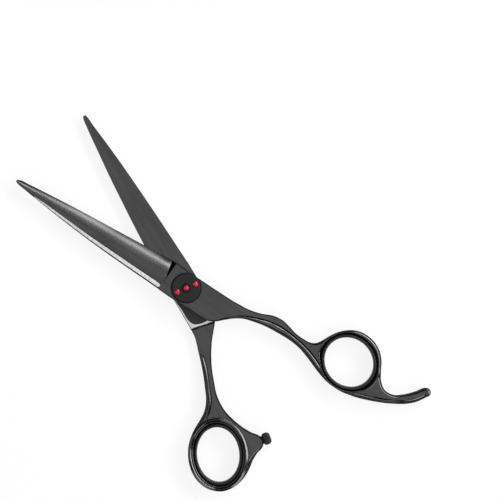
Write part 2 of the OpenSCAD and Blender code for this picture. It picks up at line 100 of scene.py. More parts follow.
# Blade rows: x, spine y, edge y, crest height, bevel width, bevel drop, edge height, roundness
FINGER_BLADE = [
    (74.6, 0.42, -0.42, 1.00, 0.10, 0.12, 0.50, 2.0),
    (73.8, 0.70, -0.80, 1.08, 0.14, 0.18, 0.25, 2.0),
    (70.0, 1.25, -1.30, 1.25, 0.16, 0.18, 0.12, 2.0),
    (60.0, 2.45, -2.30, 1.60, 0.75, 0.40, 0.10, 2.0),
    (50.0, 3.50, -3.15, 1.95, 1.10, 0.50, 0.10, 2.0),
    (40.0, 4.35, -3.85, 2.25, 1.30, 0.60, 0.10, 2.1),
    (30.0, 4.95, -4.50, 2.55, 1.50, 0.70, 0.10, 2.3),
    (20.0, 5.40, -5.20, 2.85, 1.60, 0.80, 0.10, 2.4),
    (12.0, 5.70, -5.75, 3.11, 1.65, 0.85, 0.10, 2.8),
    (9.4, 5.85, -5.85, 3.17, 1.65, 0.85, 0.15, 3.2),
]
THUMB_BLADE = [
    (74.4, 0.80, -0.25, 1.00, 0.10, 0.12, 0.50, 2.0),
    (73.6, 1.00, -0.55, 1.08, 0.14, 0.18, 0.25, 2.0),
    (70.0, 1.30, -1.10, 1.25, 0.30, 0.25, 0.12, 2.0),
    (60.0, 2.30, -2.20, 1.60, 0.75, 0.40, 0.10, 2.0),
    (50.0, 3.10, -3.25, 1.95, 1.10, 0.50, 0.10, 2.0),
    (40.0, 3.75, -4.05, 2.25, 1.30, 0.60, 0.10, 2.1),
    (30.0, 4.30, -4.80, 2.55, 1.50, 0.70, 0.10, 2.3),
    (20.0, 4.75, -5.40, 2.85, 1.60, 0.80, 0.10, 2.4),
    (12.0, 5.10, -5.80, 3.05, 1.65, 0.85, 0.10, 2.5),
    (9.4, 5.25, -5.90, 3.12, 1.65, 0.85, 0.15, 2.6),
]

# Handle rows: left x y, right x y, outer rounding left and right, inner rounding left and right
FINGER_HANDLE = [
    (8.4, 5.9, 7.8, -5.85, 0.4, 0.4, 0.1, 0.1),
    (2.3, 6.15, 2.3, -5.5, 0.4, 0.4, 0.1, 0.1),
    (-4.5, 6.15, -4.5, -5.4, 0.4, 0.4, 0.1, 0.1),
    (-10.0, 6.15, -10.5, -5.25, 0.4, 0.4, 0.1, 0.1),
    (-13.1, 6.0, -14.5, -5.2, 0.4, 0.4, 0.1, 0.1),
    (-15.9, 4.55, -18.0, -5.2, 0.5, 0.4, 0.2, 0.2),
    (-18.4, 2.3, -20.5, -5.4, 0.8, 0.4, 0.3, 0.3),
    (-21.0, 0.1, -23.1, -5.55, 1.0, 0.4, 0.6, 0.4),
    (-23.7, -1.5, -25.6, -6.0, 1.3, 0.4, 0.9, 0.6),
    (-27.8, -2.75, -29.0, -7.0, 1.9, 0.4, 1.6, 1.2),
    (-33.0, -3.7, -32.6, -8.5, 2.6, 0.4, 1.8, 1.4),
    (-37.5, -4.0, -36.6, -9.0, 2.9, 0.4, 1.8, 1.4),
    (-41.5, -4.1, -40.3, -8.25, 2.6, 0.4, 1.8, 1.4),
    (-45.0, -3.9, -43.4, -7.45, 2.3, 0.4, 1.6, 1.2),
    (-48.0, -3.35, -46.8, -7.25, 2.3, 0.4, 1.6, 1.2),
    (-51.0, -2.4, -49.2, -7.35, 2.5, 0.5, 1.8, 1.4),
    (-54.2, -1.2, -51.1, -8.05, 2.5, 0.7, 1.9, 1.6),
    (-57.0, -0.1, -52.6, -9.7, 2.4, 1.1, 2.0, 1.8),
    (-59.0, 0.6, -53.5, -11.4, 2.3, 1.5, 2.0, 2.0),
    (-61.0, 1.2, -54.4, -13.2, 2.2, 1.8, 2.0, 2.0),
    (-63.3, 1.7, -56.4, -16.3, 2.0, 2.0, 2.0, 2.0),
    (-66.0, 1.9, -59.6, -19.2, 2.0, 2.0, 2.0, 2.0),
    (-69.0, 1.85, -63.4, -20.8, 2.0, 2.0, 2.0, 2.0),
    (-72.2, 1.3, -68.2, -20.8, 1.9, 2.0, 1.9, 2.0),
    (-75.5, 0.5, -72.7, -18.9, 2.0, 2.0, 1.8, 2.0),
    (-78.2, -0.4, -75.6, -16.0, 2.0, 1.9, 1.8, 2.0),
    (-80.8, -1.4, -77.6, -12.5, 1.9, 1.6, 1.8, 1.8),
    (-83.2, -2.4, -79.7, -9.3, 1.8, 1.3, 1.6, 1.4),
    (-85.6, -3.5, -82.4, -7.4, 1.7, 1.3, 1.6, 1.3),
    (-88.2, -4.9, -85.8, -7.4, 1.6, 1.4, 1.5, 1.3),
    (-91.5, -6.9, -89.3, -9.7, 1.6, 1.5, 1.5, 1.4),
    (-94.8, -9.9, -92.3, -12.9, 1.7, 1.6, 1.6, 1.5),
    (-97.1, -13.4, -95.0, -16.2, 1.5, 1.4, 1.5, 1.4),
    (-97.6, -14.2, -95.8, -16.5, 0.9, 0.8, 0.9, 0.8),
    (-97.7, -14.9, -96.6, -16.4, 0.6, 0.5, 0.6, 0.5),
    (-97.6, -15.5, -97.2, -16.0, 0.2, 0.2, 0.2, 0.2),
]
THUMB_HANDLE = [
    (8.4, 5.3, 7.8, -5.95, 0.4, 0.4, 0.25, 0.25),
    (2.3, 5.3, 2.3, -6.2, 0.4, 0.4, 0.25, 0.25),
    (-4.5, 5.35, -4.5, -6.35, 0.4, 0.4, 0.25, 0.25),
    (-10.0, 5.2, -10.5, -6.4, 0.4, 0.4, 0.25, 0.25),
    (-13.4, 4.4, -14.2, -6.5, 0.5, 0.4, 0.25, 0.25),
    (-16.2, 2.7, -17.4, -6.75, 0.8, 0.6, 0.35, 0.25),
    (-18.7, 0.6, -20.0, -7.5, 1.2, 0.9, 0.4, 0.25),
    (-21.5, -1.75, -22.7, -8.4, 1.6, 1.2, 0.4, 1.0),
    (-25.2, -4.3, -26.0, -9.45, 1.9, 1.6, 0.4, 1.9),
    (-30.0, -6.95, -31.0, -11.25, 2.0, 1.8, 0.4, 2.0),
    (-35.0, -9.0, -35.5, -13.2, 2.0, 1.8, 0.4, 2.0),
    (-39.6, -10.6, -39.3, -15.0, 2.0, 1.8, 0.45, 2.2),
    (-43.3, -11.15, -41.6, -16.7, 2.0, 1.9, 0.45, 2.2),
    (-46.5, -11.1, -43.4, -18.7, 2.0, 2.0, 0.45, 2.1),
    (-49.5, -10.5, -44.8, -21.1, 2.0, 2.0, 0.5, 2.0),
    (-52.5, -9.6, -46.1, -23.6, 1.8, 2.0, 0.5, 2.0),
    (-55.5, -8.4, -47.6, -26.0, 1.5, 2.0, 0.5, 2.0),
    (-58.3, -6.9, -49.4, -28.2, 1.1, 2.0, 0.5, 2.0),
    (-60.8, -5.05, -51.6, -30.1, 0.7, 2.0, 0.5, 2.0),
    (-61.5, -4.75, -54.2, -31.7, 0.6, 2.0, 0.5, 2.0),
    (-64.5, -5.3, -57.4, -32.9, 0.6, 2.0, 0.5, 2.0),
    (-65.1, -6.0, -60.0, -33.4, 0.5, 2.0, 0.5, 2.0),
    (-66.0, -8.6, -62.8, -33.4, 1.4, 2.0, 1.3, 2.0),
    (-67.4, -11.4, -65.6, -32.7, 1.9, 2.0, 1.9, 2.0),
    (-69.2, -13.8, -68.1, -31.3, 2.0, 2.0, 2.0, 2.0),
    (-70.9, -16.6, -70.2, -29.3, 2.0, 2.0, 2.0, 2.0),
    (-72.0, -19.4, -71.7, -26.9, 2.0, 2.0, 2.0, 2.0),
    (-72.45, -21.6, -72.35, -24.4, 2.0, 2.0, 2.0, 2.0),
]
RIDE_POCKET = [
    (-2.4, -6.0), (-6.2, -5.7), (-11.0, -5.5), (-12.6, -4.9), (-13.6, -3.6), (-14.2, -1.8), (-14.4, 0),
    (-14.1, 1.6), (-13.4, 2.9), (-12.2, 3.7), (-10.6, 4.1), (-5.0, 4.1),
]

# Rim sections from the hole outwards: reach, height above the middle
RIDGED = [
    (-0.3, 1.62), (0.0, 1.9), (0.2, 2.08), (0.42, 2.27), (0.55, 2.33), (0.66, 2.33), (0.8, 2.45), (0.95, 2.58),
    (1.1, 2.72), (1.25, 2.8), (1.38, 2.87), (1.46, 2.88), (1.6, 2.83), (1.8, 2.74), (2.0, 2.64), (2.2, 2.55),
    (2.26, 1.9),
]
ARCHED = [
    (-0.3, 1.4), (0.0, 1.7), (0.3, 2.04), (0.6, 2.34), (0.9, 2.56), (1.05, 2.61), (1.2, 2.62), (1.4, 2.57),
    (1.6, 2.48), (1.85, 2.33), (2.1, 2.1), (2.2, 1.7),
]

# ------------ helpers


def ease(v):
    """Smooth step: v squared times (3 - 2v), held to 0 and 1 outside."""
    v = np.clip(v, 0, 1)
    return v * v * (3 - 2 * v)


def mix(a, b, t):
    """a where t is 0 and b where t is 1."""
    return a + (b - a) * t


def unit(v):
    """v with its length made 1."""
    return v / np.maximum(np.linalg.norm(v, axis=-1, keepdims=True), 1e-6)


def spline(points, steps, guide=None):
    """Chordal Catmull-Rom, steps points to a span: cubic Hermites whose slope at a point is
    (L1 v0 + L0 v1) / (L0 + L1), with L the lengths of the guide's spans and v the change per length."""
    p = np.asarray(points, float)
    g = p[:, :2] if guide is None else guide
    ln = np.maximum(np.linalg.norm(np.diff(g, axis=0), axis=1), 1e-6)[:, None]
    v = np.diff(p, axis=0) / ln
    inside = (ln[1:] * v[:-1] + ln[:-1] * v[1:]) / (ln[1:] + ln[:-1])
    slope = np.vstack([v[:1], inside, v[-1:]])
    t = (np.arange(steps) / steps)[None, :, None]
    a, b = p[:-1, None], p[1:, None]
    sa, sb = (slope[:-1] * ln)[:, None], (slope[1:] * ln)[:, None]
    q = (2 * t**3 - 3 * t**2 + 1) * a + (t**3 - 2 * t**2 + t) * sa
    q = q + (3 * t**2 - 2 * t**3) * b + (t**3 - t**2) * sb
    return np.vstack([q.reshape(-1, p.shape[1]), p[-1:]])


def own(name, points, faces, paint=None, materials=()):
    """A mesh object at the origin from points in millimetres; faces is one integer array or a list of them."""
    mesh = bpy.data.meshes.new(name)
    lists = [faces] if isinstance(faces, np.ndarray) else faces
    mesh.from_pydata((np.asarray(points) * 0.001).tolist(), [], [f for a in lists for f in a.tolist()])
    for m in materials:
        mesh.materials.append(m)
    if paint is not None:
        mesh.polygons.foreach_set("material_index", paint.astype(np.int32))
    obj = bpy.data.objects.new(name, mesh)
    bpy.context.collection.objects.link(obj)
    return obj


def close(obj):
    """Merges the points that fall together at poles and turns every face outwards."""
    bm = bmesh.new()
    bm.from_mesh(obj.data)
    bmesh.ops.remove_doubles(bm, verts=bm.verts, dist=2e-7)
    bmesh.ops.recalc_face_normals(bm, faces=bm.faces)
    bm.to_mesh(obj.data)
    bm.free()
    return obj


def shade(obj, angle=32):
    """Smooth shading, with an edge wherever two faces meet at more than angle degrees."""
    obj.data.shade_smooth()
    obj.data.set_sharp_from_angle(angle=math.radians(angle))
    return obj


def read_faces(obj, what, size, kind=float):
    """One value of every face, as rows of size numbers."""
    values = np.empty(len(obj.data.polygons) * size, kind)
    obj.data.polygons.foreach_get(what, values)
    return values.reshape(-1, size)


def tube(name, rings, paint, materials):
    """Quads between neighbouring sections rings[i, j]; each end is zipped shut, point to opposite point."""
    s, p, _ = rings.shape
    i, j = np.meshgrid(np.arange(s - 1), np.arange(p), indexing="ij")
    a, b = i * p + j, i * p + (j + 1) % p
    sides = np.stack([a, b, b + p, a + p], -1).reshape(-1, 4)
    z = np.arange(p // 2 - 1)
    cap = np.stack([z, p - 1 - z, p - 2 - z, z + 1], -1)
    paint = np.concatenate([paint.ravel(), np.zeros(2 * len(cap))])
    faces = [sides, cap, cap[:, ::-1] + (s - 1) * p]
    return close(own(name, rings.reshape(-1, 3), faces, paint, materials))


def round_faces(count, n, ring):
    """Quads between count sections of n points, round to the first; each section closes too if ring."""
    i, j = np.meshgrid(np.arange(count), np.arange(n if ring else n - 1), indexing="ij")
    i2, j2 = (i + 1) % count, (j + 1) % n
    return np.stack([i * n + j, i2 * n + j, i2 * n + j2, i * n + j2], -1).reshape(-1, 4)


def turned(name, profile, count=96, k=1.0, ring=False, materials=(), flutes=None):
    """Turns the profile (radius, height) about Z, with y scaled by k; a ring's profile closes on itself.
    flutes holds the change of radius at each angle and profile point."""
    pr = np.asarray(profile, float)
    ang = np.arange(count) * 2 * np.pi / count
    r = np.broadcast_to(pr[None, :, 0] + (0 if flutes is None else flutes), (count, len(pr)))
    z = np.broadcast_to(pr[None, :, 1], r.shape)
    pts = np.stack([r * np.cos(ang)[:, None], k * r * np.sin(ang)[:, None], z], -1)
    return close(own(name, pts.reshape(-1, 3), round_faces(count, len(pr), ring), None, materials))


def prism(name, outline, low, high):
    """A straight-walled block over a flat outline."""
    o = np.asarray(outline, float)
    n = len(o)
    pts = np.vstack([np.c_[o, np.full(n, low)], np.c_[o, np.full(n, high)]])
    a = np.arange(n)
    b = (a + 1) % n
    walls = np.stack([a, b, b + n, a + n], -1)
    return close(own(name, pts, [walls, a[None, ::-1], a[None, :] + n]))


def put(obj, matrix):
    """Moves the points of a piece, so that its object stays at the origin."""
    obj.data.transform(matrix)
    return obj


def at(x=0.0, y=0.0, z=0.0, turn=0.0):
    """A place in millimetres and a turn about Z in degrees, as a matrix."""
    return Matrix.Translation((x * 0.001, y * 0.001, z * 0.001)) @ Matrix.Rotation(math.radians(turn), 4, "Z")


def drill(d, low, high, x=0.0, y=0.0):
    """A round cutter of diameter d."""
    return put(turned("drill", [(0, low), (d / 2, low), (d / 2, high), (0, high)]), at(x, y))


def combine(obj, operation, others):
    """Joins or cuts closed skins exactly, and takes the others away."""
    for c in others:
        m = obj.modifiers.new("combine", "BOOLEAN")
        m.operation = operation
        m.solver = "MANIFOLD"
        m.object = c
    graph = bpy.context.evaluated_depsgraph_get()
    mesh = bpy.data.meshes.new_from_object(obj.evaluated_get(graph))
    obj.modifiers.clear()
    obj.data = mesh
    for c in others:
        bpy.data.objects.remove(c)
    return obj


def cut(obj, *cutters):
    """Takes the cutters out of the piece."""
    return combine(obj, "DIFFERENCE", cutters)


def soft_corner(points, radius, n=5):
    """A profile with its corners rounded, each by n points of a parabola."""
    p = np.asarray(points, float)
    out = [p[:1]]
    for a, b, c in zip(p[:-2], p[1:-1], p[2:]):
        ra = min(radius, 0.45 * np.linalg.norm(a - b))
        rc = min(radius, 0.45 * np.linalg.norm(c - b))
        s, e = b + unit(a - b) * ra, b + unit(c - b) * rc
        t = np.linspace(0, 1, n)[:, None]
        out.append((1 - t) ** 2 * s + 2 * t * (1 - t) * b + t**2 * e)
    return np.vstack(out + [p[-1:]])


# ------------ finishes


def node(tree, kind, **values):
    """A shader node; each value goes to the input of that name, or else to the setting of that name."""
    n = tree.nodes.new(kind)
    for key, v in values.items():
        if key in n.inputs:
            n.inputs[key].default_value = v
        else:
            setattr(n, key, v)
    return n


def finish_of(name):
    """A new material, its node tree and its Principled shader."""
    m = bpy.data.materials.new(name)
    m.use_nodes = True
    return m, m.node_tree, m.node_tree.nodes["Principled BSDF"]


def grain(tree, turn, scale, detail=3.0, rough=0.6):
    """Noise on object coordinates, turned about Z and then scaled, in cycles to a metre along each axis."""
    co = node(tree, "ShaderNodeTexCoord")
    mp = node(tree, "ShaderNodeMapping", vector_type="TEXTURE")
    mp.inputs["Rotation"].default_value = (0, 0, math.radians(-turn))
    mp.inputs["Scale"].default_value = [1 / v for v in scale]
    nz = node(tree, "ShaderNodeTexNoise", Scale=1.0, Detail=detail, Roughness=rough)
    tree.links.new(co.outputs["Object"], mp.inputs["Vector"])
    tree.links.new(mp.outputs["Vector"], nz.inputs["Vector"])
    return nz.outputs["Fac"]


def spread(tree, source, low, high, start=0.3, stop=0.7):
    """A value that goes from low to high as the source goes from start to stop."""
    limits = {"From Min": start, "From Max": stop, "To Min": low, "To Max": high}
    n = node(tree, "ShaderNodeMapRange", **limits)
    tree.links.new(source, n.inputs["Value"])
    return n.outputs["Result"]


def tint(tree, source, dark, light, start=0.3, stop=0.7):
    """A colour that goes from dark to light as the source goes from start to stop."""
    n = node(tree, "ShaderNodeValToRGB")
    n.color_ramp.elements[0].position = start
    n.color_ramp.elements[0].color = (*dark, 1)
    n.color_ramp.elements[1].position = stop
    n.color_ramp.elements[1].color = (*light, 1)
    tree.links.new(source, n.inputs["Fac"])
    return n.outputs["Color"]


def along(tree, turn, start, stop, low, high):
    """A value that goes from low to high as the turned object x goes from start to stop, in metres."""
    co = node(tree, "ShaderNodeTexCoord")
    mp = node(tree, "ShaderNodeMapping")
    mp.inputs["Rotation"].default_value = (0, 0, math.radians(turn))
    xyz = node(tree, "ShaderNodeSeparateXYZ")
    tree.links.new(co.outputs["Object"], mp.inputs["Vector"])
    tree.links.new(mp.outputs["Vector"], xyz.inputs["Vector"])
    return spread(tree, xyz.outputs["X"], low, high, start, stop)


def worn(tree, radius, full):
    """Edge wear: where the normal rounded over radius leaves the true one, broken up by a patchy noise."""
    soft = node(tree, "ShaderNodeBevel", samples=4)
    soft.inputs["Radius"].default_value = radius
    own_normal = node(tree, "ShaderNodeNewGeometry")
    dot = node(tree, "ShaderNodeVectorMath", operation="DOT_PRODUCT")
    tree.links.new(soft.outputs["Normal"], dot.inputs[0])
    tree.links.new(own_normal.outputs["Normal"], dot.inputs[1])
    patchy = grain(tree, 0, (900, 900, 900))
    both = node(tree, "ShaderNodeMath", operation="MULTIPLY")
    tree.links.new(spread(tree, dot.outputs["Value"], full, 0.0, 0.86, 0.95), both.inputs[0])
    tree.links.new(spread(tree, patchy, 0.35, 1.0, 0.35, 0.6), both.inputs[1])
    return both.outputs[0]


def relief(tree, shader, source, strength, depth):
    """Bump from the source."""
    b = node(tree, "ShaderNodeBump", Strength=strength, Distance=depth)
    tree.links.new(source, b.inputs["Height"])
    tree.links.new(b.outputs["Normal"], shader.inputs["Normal"])


# Where the handle's finer finish starts and is complete, and how wide the worn edges are, in metres
FINER_FROM, FINER_TO = -0.014, -0.026
WORN_WIDE = 0.00016


def ground_metal(name, dark, light, rough, turn, lines=(30, 1900, 1900), depth=1.5e-6, edge=1.0, polished=None,
                 wear=None, clouds=(40, 420, 420)):
    """Ground steel: long fine lines change its roughness and relief, and slow clouds change its tone.
    polished is the roughness of the handle's finer finish; wear is the bare tone along rubbed edges."""
    m, t, s = finish_of(name)
    s.inputs["Metallic"].default_value = 1.0
    s.inputs["Specular Tint"].default_value = (edge, edge, edge, 1)
    fine = grain(t, turn, lines, 4.0, 0.65)
    tone = tint(t, grain(t, turn, clouds), dark, light)
    if wear is not None:
        rubbed = node(t, "ShaderNodeMix", data_type="RGBA")
        t.links.new(worn(t, WORN_WIDE, 0.8), rubbed.inputs[0])
        t.links.new(tone, rubbed.inputs[6])
        rubbed.inputs[7].default_value = (*wear, 1)
        tone = rubbed.outputs[2]
    t.links.new(tone, s.inputs["Base Color"])
    value = spread(t, fine, rough - 0.03, rough + 0.03)
    if polished is not None:
        less = node(t, "ShaderNodeMath", operation="ADD")
        t.links.new(value, less.inputs[0])
        t.links.new(along(t, turn, FINER_TO, FINER_FROM, polished - rough, 0.0), less.inputs[1])
        value = less.outputs[0]
    t.links.new(value, s.inputs["Roughness"])
    relief(t, s, fine, 0.35, depth)
    return m


def moulded(name, dark, light, rough, scale=2500, depth=1e-5, specular=0.5):
    """Moulded rubber or plastic: a fine pebble in relief, with slow patches polished by handling."""
    m, t, s = finish_of(name)
    pebble = grain(t, 0, (scale, scale, scale), 2.0, 0.5)
    patch = grain(t, 0, (160, 160, 160), 2.0, 0.5)
    t.links.new(tint(t, patch, dark, light), s.inputs["Base Color"])
    t.links.new(spread(t, patch, rough + 0.06, rough - 0.06), s.inputs["Roughness"])
    s.inputs["Specular IOR Level"].default_value = specular
    relief(t, s, pebble, 0.25, depth)
    return m


def stone_red():
    """Foil-backed cut glass. The facet attribute gives each facet a tone that is painted sparkle:
    bright and dark facets stand in for the stone's reflections.
    """
    m, t, s = finish_of("red_stone")
    facet = node(t, "ShaderNodeAttribute", attribute_name="facet")
    tone = tint(t, facet.outputs["Fac"], (0.10, 0.001, 0.006), (0.75, 0.012, 0.06), 0.0, 1.0)
    t.links.new(tone, s.inputs["Base Color"])
    s.inputs["Roughness"].default_value = 0.16
    s.inputs["Specular IOR Level"].default_value = 0.22
    return m


EVEN = (1200, 1200, 1200)
BLASTED = (1500, 1500, 1500)
BLACK = dict(dark=(0.056, 0.056, 0.057), light=(0.079, 0.0755, 0.0755), rough=0.27, edge=0.03, polished=0.14,
             wear=(0.25, 0.25, 0.25), depth=1.0e-6)
COATED = ground_metal("coated_black_steel", turn=0, **BLACK)
COATED_THUMB = ground_metal("coated_black_steel_thumb", turn=OPEN, **BLACK)
STRIP = ground_metal("ground_bevel_steel", (0.5, 0.495, 0.495), (0.8, 0.79, 0.79), 0.32, 90,
                     (60, 1500, 1500), 2e-6, clouds=(60, 1400, 1400))
LAND = ground_metal("polished_ride_steel", (0.46, 0.45, 0.45), (0.62, 0.61, 0.61), 0.28, OPEN)
RECESS = ground_metal("blasted_recess_steel", (0.032, 0.031, 0.031), (0.048, 0.046, 0.046), 0.45, 0,
                      BLASTED, 6e-6)
# Near-black painted shade: the wedge of the ground step at the heel, the line round the bright strip, and the
# foot of the step behind the ride.
PAINTED_SHADE_STEEL = ground_metal("painted_shade_black_steel", (0.008, 0.008, 0.008), (0.014, 0.014, 0.014), 0.5, 0,
                        BLASTED, 6e-6)
DARK = ground_metal("dark_screw_steel", (0.014, 0.014, 0.015), (0.022, 0.022, 0.023), 0.3, 0, (900, 900, 900))
SPRING = ground_metal("spring_steel_bright", (0.4, 0.4, 0.42), (0.5, 0.5, 0.52), 0.28, 0, EVEN)
PLATE = ground_metal("click_plate_steel", (0.3, 0.3, 0.32), (0.38, 0.38, 0.4), 0.35, 0, EVEN)
BALL = ground_metal("ball_bearing_steel", (0.6, 0.6, 0.62), (0.68, 0.68, 0.7), 0.12, 0, EVEN)
WHITE = moulded("washer_nylon", (0.72, 0.7, 0.64), (0.8, 0.78, 0.72), 0.5)
BUSH = moulded("bush_nylon", (0.76, 0.74, 0.68), (0.84, 0.82, 0.76), 0.45)
RUBBER = moulded("insert_rubber", (0.007, 0.007, 0.0075), (0.012, 0.012, 0.0125), 0.42, specular=0.3)
STOP = moulded("stop_rubber_black", (0.008, 0.008, 0.0085), (0.013, 0.013, 0.0135), 0.50, specular=0.3)
DIAL = moulded("dial_anodised", (0.007, 0.009, 0.008), (0.011, 0.013, 0.012), 0.45, 3000, 4e-6, 0.25)
# Near-black painted shade on the dial's outer rim, as a dark outline round it.
DIAL_EDGE_SHADE = moulded("dial_edge_painted_shade", (0.002, 0.002, 0.002), (0.004, 0.004, 0.004), 0.5, 3000, 4e-6, 0.1)
STONE = stone_red()

# ------------ the two halves

# Points to a section: in a sharp corner, in a rounded side, across the outer face, and across the inner face
ARC, BAND, FACE, FLOOR = 10, 24, 24, 16
SPINE_WALL = BAND // 3  # how many of a side's points stand on the spine's wall; the rest are on its bevel
RING_POINTS = 192
# Sections between two rows of a blade and of a handle, in the ground step at the heel, and in the rounded tip
BLADE_STEPS, HANDLE_STEPS, HEEL_ROWS, TIP_ROWS = 24, 14, 18, 10


def blade_sections(rows, steps):
    """Sections across a blade from the tip to the heel. The inner face is hollow by 1 - (u / share)^2 times
    the depth, with u the distance from the middle over the width. The outer face rises by 1 - s^roundness.
    The last sections lean, so that the ground step at the heel is a wedge, widest at the edge."""
    r = np.asarray(rows)
    x, spine, edge, crest, bevel, drop, edge_high, power = spline(r, steps, r[:, :1]).T
    wide, middle = spine - edge, (spine + edge) / 2
    hollow = HOLLOW * np.minimum(1, wide / HOLLOW_FULL) * ease((x - HOLLOW_FADE[0]) / HOLLOW_FADE[1])
    corner = np.minimum(SPINE_CORNER[0], SPINE_CORNER[1] * wide)
    bevel_y = spine - BEVEL_LEAN * bevel
    face_y = bevel_y - bevel

    def points(y, z):
        return np.stack([np.broadcast_to(x[:, None], y.shape), y, z], -1)

    def inner(u):
        sunk = hollow[:, None] * np.clip(1 - (u / HOLLOW_SHARE) ** 2, 0, 1)
        return points(middle[:, None] + u * wide[:, None], INNER + sunk)

    def line(a, b, u):
        return points(mix(a[0][:, None], b[0][:, None], u), mix(a[1][:, None], b[1][:, None], u))

    share = 0.5 * np.linspace(0, 1, FLOOR // 2, endpoint=False) + 0.5 / FLOOR
    inner_corner = (spine - corner, np.full_like(spine, INNER))
    spine_foot = (spine, INNER + 0.9 * corner)
    spine_mid = (spine, INNER + 0.55 * (crest - drop))
    bevel_foot = (bevel_y, INNER + crest - drop)
    parts = [
        inner(share),
        line(inner_corner, spine_mid, np.zeros(1)),
        line(spine_foot, spine_mid, np.linspace(0, 0.9, ARC - 1)),
        line(spine_mid, bevel_foot, np.linspace(0, 1, SPINE_WALL)),
        line(bevel_foot, (face_y, INNER + crest), np.linspace(0.03, 1, BAND - SPINE_WALL)),
    ]
    s = np.linspace(0, 0.985, FACE) ** 0.8
    y = mix(face_y[:, None], edge[:, None], s)
    rise = (crest - edge_high)[:, None] * (1 - s ** power[:, None])
    fall = FALL * np.clip((FALL_X - x) / FALL_LONG, 0, 1)[:, None] ** 2 * ease((1.5 - y) / 2.2)
    edge_top, edge_foot = (edge, INNER + edge_high), (edge, np.full_like(edge, INNER))
    parts += [
        points(y, INNER + edge_high[:, None] + rise * (1 - fall)),
        line(edge_top, edge_foot, np.linspace(0, 1, ARC + BAND)),
        inner(-share[::-1]),
    ]
    rings = np.concatenate(parts, 1)
    lean = HEEL_LEAN * np.maximum(0, HEEL_Y - rings[..., 1]) - HEEL_SHIFT
    rings[..., 0] += np.clip((HEEL_X - rings[..., 0]) / HEEL_LONG, 0, 1) * lean
    return rings


def past_ride(p):
    """How far a point lies behind the slanting line where the ride ends."""
    return STEP_X - STEP_LEAN * p[..., 1] - p[..., 0]


def waist(p):
    """How much thinner a side is along the finger rest, whose end is a dome."""
    u = np.clip((p[..., :2] @ REST_WAY - DOME_AT) / DOME_LONG, 0, 1)
    return REST_THIN * ease((REST_X - p[..., 0]) / REST_LONG) + DOME * (1 - np.sqrt(1 - 0.98 * u**2))


def inner_z(p):
    """The inner face steps back behind the ride, then eases to the web's far side."""
    x = p[..., 0]
    near = INNER + STEP_DEEP * ease(past_ride(p) / STEP_LONG)
    start, long = INNER_EASE
    far = mix(INNER + STEP_DEEP, WEB_LOW, ease((start - x) / long)) + waist(p)
    return np.where(x > start, near, far)


def outer_z(p):
    """The outer face eases down from the body to the web."""
    start, long = OUTER_EASE
    return mix(TOP, WEB_TOP, ease((start - p[..., 0]) / long)) - waist(p)


def crease(x):
    """Depth of the crease beside the finger half's rounded side."""
    grown = ease((CREASE_IN[0] - x) / CREASE_IN[1])
    return CREASE_DEEP * grown * ease((x - CREASE_OUT[0]) / CREASE_OUT[1])


def shoulder(x):
    """The flute's round top: its width grows as a quarter circle."""
    return np.sqrt(1 - (1 - np.clip((FLUTE_TOP - x) / FLUTE_ROUND, 0, 1)) ** 2)


def flute(x):
    """Depth of the flute along the thumb half's shank."""
    return FLUTE_DEEP * shoulder(x) * ease((x - FLUTE_OUT[0]) / FLUTE_OUT[1])


def plain(x):
    """No groove."""
    return 0.0 * x


def furrow(q, r, depth):
    """The groove between a rounded side and the flat: a steep wall, then a ramp with a soft foot."""
    e = r[:, None] - q
    u = np.clip((e - FURROW_WALL) / FURROW_REACH, 0, 1)
    ramp = np.where(u < 0.75, 1 - 8 / 7 * u, 16 / 7 * (1 - u) ** 2)
    return depth[:, None] * np.where(e < FURROW_WALL, e / FURROW_WALL, ramp)


def corner_drop(q, r, h, sine):
    """How far a corner falls at q inwards: a quarter ellipse where it is rounded, and else a flat bevel."""
    flat = np.clip((ROUND_FROM - r) / (ROUND_FROM - FLAT_TO), 0, 1)[:, None]
    return mix(h[:, None] * (1 - sine), 0.9 * (r[:, None] - q), flat)


